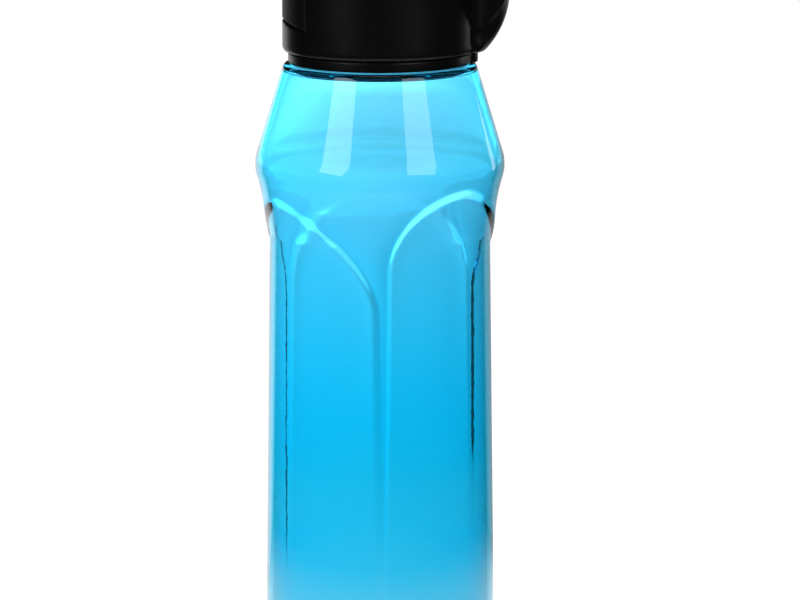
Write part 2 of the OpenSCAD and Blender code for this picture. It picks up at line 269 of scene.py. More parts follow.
def polar(bearing: Array, radius: Array, height: Array) -> Array:
    """Points round the axis: x = r sin b, y = -r cos b, z = height, with b counted from -Y to +X.

    Args:
        bearing: Bearings b in degrees.
        radius: Distances r from the axis.
        height: Heights.

    Returns:
        Points, the three arrays' common shape with a last axis of 3.
    """
    angle = np.radians(bearing)
    return np.stack(np.broadcast_arrays(radius * np.sin(angle), -radius * np.cos(angle), height), -1)


# ---- Mouldings ----


@dataclass(frozen=True)
class Moulding:
    """A moulded part with the small round edges that a tool leaves.

    The part's solid, and whatever is added to it, become one skin of small even faces: a surface is
    drawn round their common inside on a fine lattice, and each vertex is then moved to the mean of
    its neighbours a few times, which rounds the edges and leaves the broad faces where they are.
    """

    name: str
    node: str
    body: Body
    slot: Slot
    cell: float = 0.5
    rounding: int = 4

    def build(
        self, *added: bpy.types.Object, reshape: Callable[[Array], Array] | None = None
    ) -> bpy.types.Object:
        """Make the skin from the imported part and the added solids.

        Args:
            *added: Closed solids that become part of the moulding, and are used up.
            reshape: Function from points (n, 3) in mm to their new places, run before the rounding.

        Returns:
            The piece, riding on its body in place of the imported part.
        """
        points, faces = self.solid(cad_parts[self.node])
        for extra in added:
            more, others = self.solid(extra)
            faces = np.concatenate([faces, others + len(points)])
            points = np.concatenate([points, more])
            bpy.data.objects.remove(extra)
        rough = make_object(self.name, points, faces.tolist())
        lattice = rough.modifiers.new("lattice", "REMESH")
        lattice.mode = "VOXEL"
        lattice.voxel_size = self.cell * MM
        lattice.use_smooth_shade = True
        skin = self.taken(rough)
        if reshape:
            places = np.empty(len(skin.data.vertices) * 3)
            skin.data.vertices.foreach_get("co", places)
            moved = reshape(places.reshape(-1, 3) / MM) * MM
            skin.data.vertices.foreach_set("co", moved.ravel())
        relax = skin.modifiers.new("relax", "SMOOTH")
        relax.factor = 0.5
        relax.iterations = self.rounding
        piece = self.taken(skin)
        piece.name = piece.data.name = self.name
        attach(piece, self.body.value)
        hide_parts(self.node)
        return piece

    @staticmethod
    def solid(source: bpy.types.Object) -> tuple[Array, Array]:
        """Merged points and triangles of a copy of a solid's mesh.

        Args:
            source: The solid, left as it is.

        Returns:
            Points (n, 3) in mm and vertex numbers (m, 3).
        """
        sheet = bmesh.new()
        sheet.from_mesh(source.data)
        bmesh.ops.remove_doubles(sheet, verts=sheet.verts, dist=MERGE)
        bmesh.ops.triangulate(sheet, faces=sheet.faces)
        copy = bpy.data.meshes.new("copy")
        sheet.to_mesh(copy)
        sheet.free()
        points = np.empty(len(copy.vertices) * 3)
        copy.vertices.foreach_get("co", points)
        faces = np.empty(len(copy.polygons) * 3, int)
        copy.polygons.foreach_get("vertices", faces)
        bpy.data.meshes.remove(copy)
        return points.reshape(-1, 3) / MM, faces.reshape(-1, 3)

    @staticmethod
    def taken(source: bpy.types.Object) -> bpy.types.Object:
        """Apply the modifiers of an object.

        Args:
            source: The object, used up.

        Returns:
            A plain object with the mesh that the modifiers make.
        """
        depsgraph = bpy.context.evaluated_depsgraph_get()
        mesh = bpy.data.meshes.new_from_object(source.evaluated_get(depsgraph))
        bpy.data.objects.remove(source)
        piece = bpy.data.objects.new(mesh.name, mesh)
        bpy.context.scene.collection.objects.link(piece)
        mesh.polygons.foreach_set("use_smooth", np.ones(len(mesh.polygons), bool))
        return piece


# ---- Node tools ----


class NodeSheet:
    """Short hand for laying out a node tree."""

    def __init__(self, tree: bpy.types.NodeTree) -> None:
        """Start with an empty tree."""
        self.tree = tree
        tree.nodes.clear()

    def add(self, kind: str, inputs: dict | None = None, **settings: object) -> bpy.types.Node:
        """Add a node, set its settings, and set or link its inputs.

        Args:
            kind: Blender's name of the node.
            inputs: Input name or number to a value or to an output socket.
            **settings: Properties of the node.

        Returns:
            The node.
        """
        node = self.tree.nodes.new(kind)
        for key, value in settings.items():
            setattr(node, key, value)
        for key, value in (inputs or {}).items():
            if isinstance(value, bpy.types.NodeSocket):
                self.tree.links.new(value, node.inputs[key])
            else:
                node.inputs[key].default_value = value
        return node

    def math(
        self, operation: str, a: Socket | float, b: Socket | float = 0.0, c: Socket | float = 0.0
    ) -> Socket:
        """Output of a Math node."""
        return self.add("ShaderNodeMath", {0: a, 1: b, 2: c}, operation=operation).outputs[0]

    def spread(self, value: Socket, low: float, high: float, to_low: float, to_high: float) -> Socket:
        """Output of a smooth Map Range node from low..high to to_low..to_high."""
        inputs = {"Value": value, "From Min": low, "From Max": high, "To Min": to_low, "To Max": to_high}
        return self.add("ShaderNodeMapRange", inputs, interpolation_type="SMOOTHSTEP").outputs[0]

    def mix(self, factor: Socket, a: Socket | tuple, b: Socket | tuple) -> Socket:
        """Colour output of a Mix node.

        Args:
            factor: Share of b.
            a: Colour or socket at 0.
            b: Colour or socket at 1.

        Returns:
            The output socket.
        """
        node = self.add("ShaderNodeMix", data_type="RGBA")
        for socket, value in ((node.inputs[0], factor), (node.inputs[6], a), (node.inputs[7], b)):
            if isinstance(value, bpy.types.NodeSocket):
                self.tree.links.new(value, socket)
            else:
                socket.default_value = value
        return node.outputs[2]

    def ramp(self, factor: Socket, stops: list[tuple[float, Colour]]) -> Socket:
        """Colour output of a ramp.

        Args:
            factor: Place along the ramp, 0 to 1.
            stops: Pairs of place and linear colour, in rising order.

        Returns:
            The output socket.
        """
        node = self.add("ShaderNodeValToRGB", {"Fac": factor})
        elements = node.color_ramp.elements
        while len(elements) < len(stops):
            elements.new(0.5)
        for element, (place, colour) in zip(elements, stops):
            element.position = place
            element.color = (*colour, 1)
        return node.outputs["Color"]


class SharedEffect:
    """A shader node group that several finishes use, built once."""

    name = "Effect"
    inputs: tuple[tuple[str, str, float], ...] = ()
    outputs: tuple[tuple[str, str], ...] = ()

    @classmethod
    def group(cls) -> bpy.types.NodeTree:
        """Make the group at its first use.

        Returns:
            The group's node tree.
        """
        found = bpy.data.node_groups.get(cls.name)
        if found:
            return found
        tree = bpy.data.node_groups.new(cls.name, "ShaderNodeTree")
        tree.interface.new_socket(name="Vector", in_out="INPUT", socket_type="NodeSocketVector")
        for name, kind, default in cls.inputs:
            socket = tree.interface.new_socket(name=name, in_out="INPUT", socket_type=kind)
            socket.default_value = default
        for name, kind in cls.outputs:
            tree.interface.new_socket(name=name, in_out="OUTPUT", socket_type=kind)
        sheet = NodeSheet(tree)
        entry = sheet.add("NodeGroupInput")
        results = cls.build(sheet, entry.outputs)
        sheet.add("NodeGroupOutput", results)
        return tree

    @classmethod
    def build(cls, sheet: NodeSheet, given: bpy.types.NodeOutputs) -> dict[str, Socket]:
        """Lay out the group's nodes and return output name to socket.

        Args:
            sheet: The group's nodes.
            given: The group's inputs.

        Returns:
            Output name to socket.
        """
        raise NotImplementedError

    @classmethod
    def place(cls, sheet: NodeSheet, vector: Socket, **values: float) -> bpy.types.NodeOutputs:
        """Put the group into a material.

        Args:
            sheet: The material's nodes.
            vector: Place on the surface.
            **values: Value of each input, its name in lower case with _ for a space.

        Returns:
            The group's outputs.
        """
        node = sheet.add("ShaderNodeGroup", node_tree=cls.group())
        sheet.tree.links.new(vector, node.inputs["Vector"])
        for key, value in values.items():
            node.inputs[key.replace("_", " ").title()].default_value = value
        return node.outputs


class MouldGrain(SharedEffect):
    """Fine spark-eroded texture of a moulded plastic: a height, and a roughness that varies slowly."""

    name = "MouldGrain"
    inputs = (
        ("Grain Size", "NodeSocketFloat", 0.35),
        ("Roughness", "NodeSocketFloat", 0.4),
        ("Spread", "NodeSocketFloat", 0.08),
    )
    outputs = (("Height", "NodeSocketFloat"), ("Roughness", "NodeSocketFloat"))

    @classmethod
    def build(cls, sheet: NodeSheet, given: bpy.types.NodeOutputs) -> dict[str, Socket]:
        """Noise at the grain's size for the height, and a broad noise around the mean roughness.

        Args:
            sheet: The group's nodes.
            given: The group's inputs.

        Returns:
            Output name to socket.
        """
        scale = sheet.math("DIVIDE", 1000.0, given["Grain Size"])
        fine = sheet.add("ShaderNodeTexNoise", {"Vector": given["Vector"], "Scale": scale, "Detail": 3.0})
        broad = sheet.add("ShaderNodeTexNoise", {"Vector": given["Vector"], "Scale": 45.0, "Detail": 4.0})
        centred = sheet.math("SUBTRACT", broad.outputs[0], 0.5)
        rough = sheet.math("MULTIPLY_ADD", centred, given["Spread"], given["Roughness"])
        return {"Height": fine.outputs[0], "Roughness": rough}


class Handling(SharedEffect):
    """Marks of use: short hair scratches and faint smears, as masks from 0 to 1."""

    name = "Handling"
    inputs = (("Scratches", "NodeSocketFloat", 0.5), ("Smears", "NodeSocketFloat", 0.5))
    outputs = (("Scratch", "NodeSocketFloat"), ("Smear", "NodeSocketFloat"))

    @classmethod
    def build(cls, sheet: NodeSheet, given: bpy.types.NodeOutputs) -> dict[str, Socket]:
        """Scratches are thin bands of a stretched noise, and smears the peaks of a broad one.

        Args:
            sheet: The group's nodes.
            given: The group's inputs.

        Returns:
            Output name to socket.
        """
        place = sheet.add("ShaderNodeMapping", {"Vector": given["Vector"], "Rotation": (0.5, 0.9, 0.3)})
        place.inputs["Scale"].default_value = (900, 60, 60)
        lines = sheet.add("ShaderNodeTexNoise", {"Vector": place.outputs[0], "Scale": 1.0, "Detail": 2.0})
        scratch = sheet.spread(lines.outputs[0], 0.66, 0.74, 0.0, 1.0)
        broad = sheet.add("ShaderNodeTexNoise", {"Vector": given["Vector"], "Scale": 30.0, "Detail": 3.0})
        smear = sheet.spread(broad.outputs[0], 0.5, 0.75, 0.0, 1.0)
        return {
            "Scratch": sheet.math("MULTIPLY", scratch, given["Scratches"]),
            "Smear": sheet.math("MULTIPLY", smear, given["Smears"]),
        }


class Dust(SharedEffect):
    """Light dust that lies where a surface looks up: a mask from 0 to 1."""

    name = "Dust"
    inputs = (("Amount", "NodeSocketFloat", 0.3),)
    outputs = (("Mask", "NodeSocketFloat"),)

    @classmethod
    def build(cls, sheet: NodeSheet, given: bpy.types.NodeOutputs) -> dict[str, Socket]:
        """Specks of a fine noise, times the height of the surface normal, times the amount.

        Args:
            sheet: The group's nodes.
            given: The group's inputs.

        Returns:
            Output name to socket.
        """
        specks = sheet.add("ShaderNodeTexNoise", {"Vector": given["Vector"], "Scale": 700.0, "Detail": 2.0})
        dots = sheet.spread(specks.outputs[0], 0.6, 0.75, 0.0, 1.0)
        normal = sheet.add("ShaderNodeNewGeometry").outputs["Normal"]
        up = sheet.add("ShaderNodeSeparateXYZ", {0: normal}).outputs[2]
        facing = sheet.spread(up, 0.4, 1.0, 0.0, 1.0)
        mask = sheet.math("MULTIPLY", dots, facing)
        return {"Mask": sheet.math("MULTIPLY", mask, given["Amount"])}


# ---- Finishes ----


@dataclass(frozen=True)
class Finish:
    """A finish, made into one material the first time that it is used."""

    name: str

    def material(self) -> bpy.types.Material:
        """Make the material at its first use.

        Returns:
            The material.
        """
        found = bpy.data.materials.get(self.name)
        if found:
            return found
        material = bpy.data.materials.new(self.name)
        material.use_nodes = True
        sheet = NodeSheet(material.node_tree)
        place = sheet.add("ShaderNodeTexCoord").outputs["Object"]
        shader = self.shader(sheet, place)
        output = sheet.add("ShaderNodeOutputMaterial", {"Surface": shader.outputs[0]})
        self.inside(sheet, output)
        return material

    def shader(self, sheet: NodeSheet, place: Socket) -> bpy.types.Node:
        """Lay out the surface and return its shader.

        Args:
            sheet: The material's nodes.
            place: Place on the piece.

        Returns:
            The shader node.
        """
        raise NotImplementedError

    def inside(self, sheet: NodeSheet, output: bpy.types.Node) -> None:
        """Lay out what fills the solid: nothing, unless a finish says so."""

    def dress(self, *pieces: bpy.types.Object) -> None:
        """Give the finish to every slot of each piece.

        Args:
            *pieces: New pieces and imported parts.
        """
        for piece in pieces:
            slots = piece.data.materials
            count = max(1, len(slots))
            slots.clear()
            for _ in range(count):
                slots.append(self.material())


@dataclass(frozen=True)
class ClearPlastic(Finish):
    """Tinted transparent plastic. The tint is partly in its depth and partly a gradient by height, which
    also carries painted shading.

    stops are (height in mm, linear base colour of one surface: the tint with painted shading, paler towards
    the shoulder and near the base); depth_tint and depth_density fill the wall.
    """

    stops: tuple[tuple[float, Colour], ...] = ()
    height: float = 222.0
    ior: float = 1.53
    roughness: float = 0.02
    depth_tint: Colour = (0.0, 0.88, 0.985)
    depth_density: float = 420.0

    def shader(self, sheet: NodeSheet, place: Socket) -> bpy.types.Node:
        """Gradient by height with painted shading, hair scratches, and a shallow ripple along the wall.

        Args:
            sheet: The material's nodes.
            place: Place on the piece.

        Returns:
            The shader node.
        """
        level = sheet.add("ShaderNodeSeparateXYZ", {0: place}).outputs[2]
        share = sheet.math("DIVIDE", level, self.height * MM)
        # Base colour by height: the plastic's tint with painted shading, paler towards the shoulder and
        # near the base.
        tint_and_painted_shading = sheet.ramp(share, [(z / self.height, colour) for z, colour in self.stops])
        marks = Handling.place(sheet, place, scratches=0.35, smears=0.3)
        grain = MouldGrain.place(sheet, place, grain_size=6.0, roughness=self.roughness, spread=0.01)
        rough = sheet.math("MULTIPLY_ADD", marks["Smear"], 0.02, grain["Roughness"])
        ripple = sheet.add("ShaderNodeBump", {"Height": grain["Height"], "Strength": 0.02})
        ripple.inputs["Distance"].default_value = MM
        shader = sheet.add("ShaderNodeBsdfPrincipled", {"Base Color": tint_and_painted_shading, "Roughness": rough})
        sheet.tree.links.new(ripple.outputs[0], shader.inputs["Normal"])
        shader.inputs["Transmission Weight"].default_value = 1.0
        shader.inputs["IOR"].default_value = self.ior
        return shader

    def inside(self, sheet: NodeSheet, output: bpy.types.Node) -> None:
        """Absorption in the depth of the wall.

        Args:
            sheet: The material's nodes.
            output: The material's output node.
        """
        depth = sheet.add("ShaderNodeVolumeAbsorption")
        depth.inputs["Color"].default_value = (*self.depth_tint, 1)
        depth.inputs["Density"].default_value = self.depth_density
        sheet.tree.links.new(depth.outputs[0], output.inputs["Volume"])


@dataclass(frozen=True)
class SatinPlastic(Finish):
    """Opaque moulded plastic with a fine grain, faint smears and a little dust on top."""

    colour: Colour = (0.0042, 0.0042, 0.0045)
    worn: Colour = (0.03, 0.03, 0.032)
    dust: Colour = (0.25, 0.24, 0.23)
    roughness: float = 0.3
    grain: float = 0.3
    bump: float = 0.1
    specular: float = 0.25

    def shader(self, sheet: NodeSheet, place: Socket) -> bpy.types.Node:
        """Base colour lifted by scratches and dust, roughness by smears, height by the grain.

        Args:
            sheet: The material's nodes.
            place: Place on the piece.

        Returns:
            The shader node.
        """
        grain = MouldGrain.place(
            sheet, place, grain_size=self.grain, roughness=self.roughness, spread=0.12
        )
        marks = Handling.place(sheet, place, scratches=0.25, smears=0.4)
        dust = Dust.place(sheet, place, amount=0.1)
        base = sheet.mix(marks["Scratch"], (*self.colour, 1), (*self.worn, 1))
        base = sheet.mix(dust["Mask"], base, (*self.dust, 1))
        rough = sheet.math("MULTIPLY_ADD", marks["Smear"], 0.08, grain["Roughness"])
        bump = sheet.add("ShaderNodeBump", {"Height": grain["Height"], "Strength": self.bump})
        bump.inputs["Distance"].default_value = 0.0002
        shader = sheet.add("ShaderNodeBsdfPrincipled", {"Base Color": base, "Roughness": rough})
        sheet.tree.links.new(bump.outputs[0], shader.inputs["Normal"])
        shader.inputs["Specular IOR Level"].default_value = self.specular
        return shader


@dataclass(frozen=True)
class Silicone(Finish):
    """Milky soft seal with a faint bloom."""

    colour: Colour = (0.62, 0.65, 0.67)
    tinge: Colour = (0.42, 0.46, 0.5)

    def shader(self, sheet: NodeSheet, place: Socket) -> bpy.types.Node:
        """Cloudy mix of two greys, soft sheen of light inside, fine grain.

        Args:
            sheet: The material's nodes.
            place: Place on the piece.

        Returns:
            The shader node.
        """
        cloud = sheet.add("ShaderNodeTexNoise", {"Vector": place, "Scale": 160.0, "Detail": 3.0})
        base = sheet.mix(cloud.outputs[0], (*self.colour, 1), (*self.tinge, 1))
        grain = MouldGrain.place(sheet, place, grain_size=0.5, roughness=0.5, spread=0.1)
        bump = sheet.add("ShaderNodeBump", {"Height": grain["Height"], "Strength": 0.1})
        bump.inputs["Distance"].default_value = 0.0002
        shader = sheet.add(
            "ShaderNodeBsdfPrincipled", {"Base Color": base, "Roughness": grain["Roughness"]}
        )
        sheet.tree.links.new(bump.outputs[0], shader.inputs["Normal"])
        shader.inputs["Subsurface Weight"].default_value = 0.25
        shader.inputs["Subsurface Scale"].default_value = 0.001
        return shader


@dataclass(frozen=True)
class DrawnSteel(Finish):
    """Bright drawn stainless wire, with fine lines and a few tarnished spots."""

    colour: Colour = (0.56, 0.56, 0.58)
    dull: Colour = (0.3, 0.29, 0.28)

    def shader(self, sheet: NodeSheet, place: Socket) -> bpy.types.Node:
        """Metal whose colour and roughness follow smears and fine lines.

        Args:
            sheet: The material's nodes.
            place: Place on the piece.

        Returns:
            The shader node.
        """
        marks = Handling.place(sheet, place, scratches=0.8, smears=0.7)
        base = sheet.mix(marks["Smear"], (*self.colour, 1), (*self.dull, 1))
        rough = sheet.math("MULTIPLY_ADD", marks["Scratch"], 0.25, 0.22)
        bump = sheet.add("ShaderNodeBump", {"Height": marks["Scratch"], "Strength": 0.1})
        bump.inputs["Distance"].default_value = 0.0001
        shader = sheet.add("ShaderNodeBsdfPrincipled", {"Base Color": base, "Roughness": rough})
        sheet.tree.links.new(bump.outputs[0], shader.inputs["Normal"])
        shader.inputs["Metallic"].default_value = 1.0
        return shader


CLEAR_BLUE = ClearPlastic(
    "clear_blue_plastic",
    # Base colour by height in mm: the blue tint with painted shading, paler towards the shoulder and near
    # the base, deepest around 80 mm.
    stops=(
        (33.0, (0.534, 0.823, 0.936)),
        (47.0, (0.211, 0.803, 0.98)),
        (63.0, (0.288, 0.797, 0.935)),
        (80.0, (0.111, 0.787, 0.97)),
        (97.0, (0.15, 0.804, 0.996)),
        (113.0, (0.273, 0.82, 1.0)),
        (130.0, (0.406, 0.835, 1.0)),
        (147.0, (0.518, 0.848, 1.0)),
        (160.0, (0.68, 0.852, 1.0)),
        (176.0, (0.704, 0.9, 1.0)),
        (190.0, (0.91, 0.9, 1.0)),
        (202.0, (1.0, 0.908, 1.0)),
    ),
)
LID_BLACK = SatinPlastic("lid_black")
BUTTON_BLACK = SatinPlastic("button_black", roughness=0.5, grain=0.5, bump=0.3)
SPOUT_BLACK = SatinPlastic("spout_black", colour=(0.006, 0.006, 0.0065), roughness=0.3, bump=0.08)
MILKY_SEAL = Silicone("milky_seal")
SPRING_STEEL = DrawnSteel("spring_steel")


# ---- Bottle body ----


@dataclass(frozen=True)
class GripPanel:
    """One sunken panel between two ribs: an arch on two upright legs. Bearings in degrees.

    softness widens the step over the arch, right_slope is what the right leg's step gains in width
    outside the outline, and narrowing is the share of rib_half that a rib has lost at the base.
    """

    left: float
    right: float
    apex: float
    apex_z: float
    left_foot: float
    right_foot: float
    left_bow: float
    right_bow: float
    softness: float = 1.0
    right_slope: float = 1.3
    rib_half: float = 3.5
    narrowing: float = 0.8
    foot_z: float = 20.0
    reach: float = 37.4

    def edge(self, side: Side, z: Array) -> Array:
        """Bearing of the outline at height z.

        Below its foot a leg runs along the rib, which narrows towards the base. Above, it follows
        (rise ^ bow + run ^ bow) = 1 from the rib to the apex.

        Args:
            side: Which leg.
            z: Heights.

        Returns:
            Bearings.
        """
        foot = self.left_foot if side is Side.LEFT else self.right_foot
        bow = self.left_bow if side is Side.LEFT else self.right_bow
        rib = self.left + self.rib_half if side is Side.LEFT else self.right - self.rib_half
        narrow = self.rib_half * self.narrowing * np.clip(foot - z, 0, None) / foot
        rise = np.clip((z - foot) / (self.apex_z - foot), 0, 1)
        arch = self.apex + (rib - self.apex) * (1 - rise**bow) ** (1 / bow)
        return np.where(z <= foot, rib + side.value * narrow, arch)

    def outline(self) -> Array:
        """Outline on the unrolled wall: up the left leg, over the apex, and down the right leg.

        Returns:
            Points (n, 2) of length round the wall and height, in mm, closer together at the apex.
        """
        span = self.apex_z - self.foot_z
        z = self.foot_z + span * np.sin(np.linspace(0, np.pi / 2, 90))
        left = np.stack([self.edge(Side.LEFT, z), z], -1)
        right = np.stack([self.edge(Side.RIGHT, z), z], -1)[::-1]
        line = np.concatenate([left, right[1:]])
        return line * [np.radians(self.reach), 1]

    def inside(self, bearing: Array, z: Array) -> Array:
        """Distance in mm from the outline on the unrolled wall, positive inside the panel.

        It is the least distance to the outline's segments, each point's nearest place on a segment
        being its projection held between the segment's ends.

        Args:
            bearing: Bearings, as a flat array.
            z: Heights, as a flat array of the same length.

        Returns:
            Signed distances.
        """
        turned = self.apex + (bearing - self.apex + 180) % 360 - 180
        point = np.stack([turned * np.radians(self.reach), z], -1)[:, None]
        line = self.outline()
        start, step = line[:-1], np.diff(line, axis=0)
        along = np.einsum("ijk,jk->ij", point - start, step) / (step * step).sum(1)
        nearest = start + np.clip(along, 0, 1)[..., None] * step
        distance = np.linalg.norm(point - nearest, axis=2).min(1)
        held = (turned > self.edge(Side.LEFT, z)) & (turned < self.edge(Side.RIGHT, z))
        return np.where(held & (z < self.apex_z), distance, -distance)


@dataclass
class BottleWall:
    """The blown body: one wall with an outside, a rim and an inside.

    leg_step and arch_step are how far a panel's step runs beyond and within its outline.
    """

    panels: tuple[GripPanel, ...] = (
        GripPanel(1, 119, 45, 170, 145, 133, 1.9, 1.35, right_slope=2.4),
        GripPanel(119, 241, 180, 167, 134, 134, 1.6, 1.6, softness=3.5),
        GripPanel(241, 361, 300, 165.8, 132, 132, 1.6, 1.6, softness=1.25),
    )
    columns: int = 300
    outside_rows: int = 214
    inside_rows: int = 112
    inside_gap: float = 1.7
    crowding: float = 0.72
    wall: float = 2.0
    panel_low: float = 15.0
    panel_high: float = 178.0
    side_blend: float = 12.0
    leg_step: tuple[float, float] = (0.3, 0.9)
    arch_step: tuple[float, float] = (1.2, 2.0)
    step_ease: float = 0.18
    barrel_r: float = 37.85
    bore_r: float = 35.85
    shoulder_r: float = 41.65
    shoulder_z: float = 175.8
    bead_r: float = 31.5
    bead_z: float = 209.3
    neck_r: float = 26.0
    mouth_r: float = 23.6
    rim_r: float = 24.8
    rim_z: float = 222.0
    thread_start: float = 90.0
    thread_z: float = 211.6
    thread_pitch: float = 5.0
    thread_turns: float = 1.6
    thread_height: float = 1.2
    thread_half: float = 1.0
    thread_flank: float = 0.55
    thread_fade: float = 30.0

    def outside_line(self) -> Array:
        """Outside profile from the middle of the base to the rim.

        Returns:
            Points (n, 2) of radius and height.
        """
        return rounded_line([
            (0, 6, 0), (15, 6, 10), (27, 0, 3), (self.barrel_r, 0, 5.5), (self.barrel_r, 163.1, 60),
            (self.shoulder_r, self.shoulder_z, 14), (self.bead_r, self.bead_z, 1.8),
            (self.neck_r, self.bead_z, 0.5), (self.neck_r, self.rim_z, 0.6), (self.rim_r, self.rim_z, 0),
        ])

    def inside_line(self) -> Array:
        """Inside profile from the rim to the middle of the floor, clear of the panels.

        Returns:
            Points (n, 2) of radius and height.
        """
        return rounded_line([
            (self.rim_r, self.rim_z, 0), (self.mouth_r, self.rim_z, 0.6), (self.mouth_r, 208, 1.5),
            (29.6, 207.2, 1.5), (39.45, 176, 12), (self.bore_r, 163.6, 60), (self.bore_r, 2.4, 6),
            (26.5, 2.4, 4), (15.5, 8, 8), (0, 8, 0),
        ])

    def bearings(self) -> Array:
        """Bearings of the columns, crowded at the three ribs: t less a share of sin(3 t) / 3."""
        t = np.linspace(0, 2 * np.pi, self.columns, endpoint=False)
        return np.degrees(t - self.crowding * np.sin(3 * t) / 3) + self.panels[0].left

    def floor_radius(self, z: Array) -> Array:
        """Radius of the panels' floor at height z."""
        return np.interp(z, [20, 147, 153, 171, 190], [37.95, 36.4, 36.4, 38.6, 41.0])

    def depth(self, bearing: Array, line: Array) -> Array:
        """How far the panels sink the wall.

        The full depth is the profile less the floor. It comes in over a rounded ramp across the
        outline, from beyond it to within it. The ramp is narrow along the left legs, wider along the
        right ones and widest at the apex.

        Args:
            bearing: Bearings of the columns.
            line: Profile points (rows, 2).

        Returns:
            Depths (rows, columns) in mm.
        """
        z, b = np.meshgrid(line[:, 1], bearing, indexing="ij")
        full = np.clip(line[:, 0] - self.floor_radius(line[:, 1]), 0, None)[:, None]
        touched = (line[:, 1] > self.panel_low) & (line[:, 1] < self.panel_high)
        sunk = np.zeros_like(z)
        for panel in self.panels:
            zs, bs = z[touched].ravel(), b[touched].ravel()
            inside = panel.inside(bs, zs)
            turned = (bs - panel.apex + 180) % 360 - 180
            right = smoothstep(turned, -self.side_blend, self.side_blend)
            foot = panel.left_foot * (1 - right) + panel.right_foot * right
            arch = smoothstep(zs, foot, panel.apex_z) ** 2
            beyond = (self.leg_step[0] + panel.right_slope * right) * (1 - arch)
            beyond += self.arch_step[0] * panel.softness * arch
            within = self.leg_step[1] * (1 - arch) + self.arch_step[1] * panel.softness * arch
            ramp = rounded_ramp((inside + beyond) / (beyond + within), self.step_ease)
            sunk[touched] = np.maximum(sunk[touched], ramp.reshape(-1, len(bearing)))
        return sunk * full

    def thread(self, bearing: Array, z: Array) -> Array:
        """Height of the thread on the neck.

        The ridge is a helix: at each bearing its middle is thread_z plus the pitch times the turns
        so far. The section is a trapezium, and the height fades over the first and last degrees.

        Args:
            bearing: Bearings of the columns.
            z: Heights of the rows.

        Returns:
            Heights (rows, columns) in mm.
        """
        angle = (bearing - self.thread_start) % 360
        ridge = np.zeros((len(z), len(bearing)))
        for turn in range(2):
            run = angle + 360 * turn
            end = 360 * self.thread_turns
            fade = np.clip(np.minimum(run, end - run) / self.thread_fade, 0, 1)
            middle = self.thread_z + self.thread_pitch * run / 360
            off = np.abs(z[:, None] - middle[None])
            section = np.clip((self.thread_half - off) / self.thread_flank, 0, 1)
            ridge = np.maximum(ridge, section * fade * self.thread_height)
        return ridge

    def wall_rings(self) -> Array:
        """Rings of the whole wall: the outside upwards, then the inside downwards.

        Returns:
            Points (rows, columns, 3) in mm.
        """
        bearing = self.bearings()
        line = resample(self.outside_line(), self.row_gap, self.outside_rows)[1:]
        depth = self.depth(bearing, line)
        radius = line[:, :1] - depth
        on_neck = (line[:, 1] > self.bead_z + 0.3) & (line[:, 1] < self.rim_z - 1)
        neck = on_neck & (line[:, 0] < self.neck_r + 0.3)
        radius[neck] += self.thread(bearing, line[neck, 1])
        inner = resample(self.inside_line(), self.wide_row_gap, self.inside_rows)[:-1]
        sunk = self.soften(self.depth(bearing, inner + [self.wall, 0]), bearing, inner[:, 1])
        outer_rings = polar(bearing[None], radius, line[:, 1:])
        inner_rings = polar(bearing[None], inner[:, :1] - sunk, inner[:, 1:])
        return np.concatenate([outer_rings, inner_rings[1:]])

    def wide_row_gap(self, z: Array) -> Array:
        """Wanted distance between rows of the inside, which needs fewer of them."""
        return self.row_gap(z) * self.inside_gap

    @staticmethod
    def row_gap(z: Array) -> Array:
        """Wanted distance between rows at height z: close over the arches and on the neck."""
        heights = [30, 60, 118, 126, 176, 182, 206, 208, 222]
        return np.interp(z, heights, [3, 4, 2, 0.5, 0.5, 2, 2, 0.4, 0.4])

    @staticmethod
    def soften(depth: Array, bearing: Array, z: Array, blur: float = 3.2, reach: float = 36.0) -> Array:
        """The inside follows the outside softly: a bell-weighted mean over rows and columns.

        Args:
            depth: Depths (rows, columns).
            bearing: Bearings of the columns.
            z: Heights of the rows.
            blur: Width of the bell in mm.
            reach: Radius that turns bearings into lengths.

        Returns:
            The softened depths.
        """
        gap = np.gradient(z)
        rows = np.exp(-(((z[:, None] - z[None]) / blur) ** 2) / 2) * np.abs(gap)
        run = (bearing[:, None] - bearing[None] + 180) % 360 - 180
        width = np.gradient(np.unwrap(bearing, period=360))
        around = np.exp(-((np.radians(run) * reach / blur) ** 2) / 2) * np.abs(width)
        rows /= rows.sum(1, keepdims=True)
        around /= around.sum(1, keepdims=True)
        return rows @ depth @ around.T

    def build(self) -> list[bpy.types.Object]:
        """Make the wall and dress it.

        Returns:
            The new pieces.
        """
        wall = ringed_solid("bottle_wall", self.wall_rings())
        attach(wall, Body.BOTTLE.value)
        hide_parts("bottle_body")
        CLEAR_BLUE.dress(wall)
        return [wall]


# ---- Lid ----


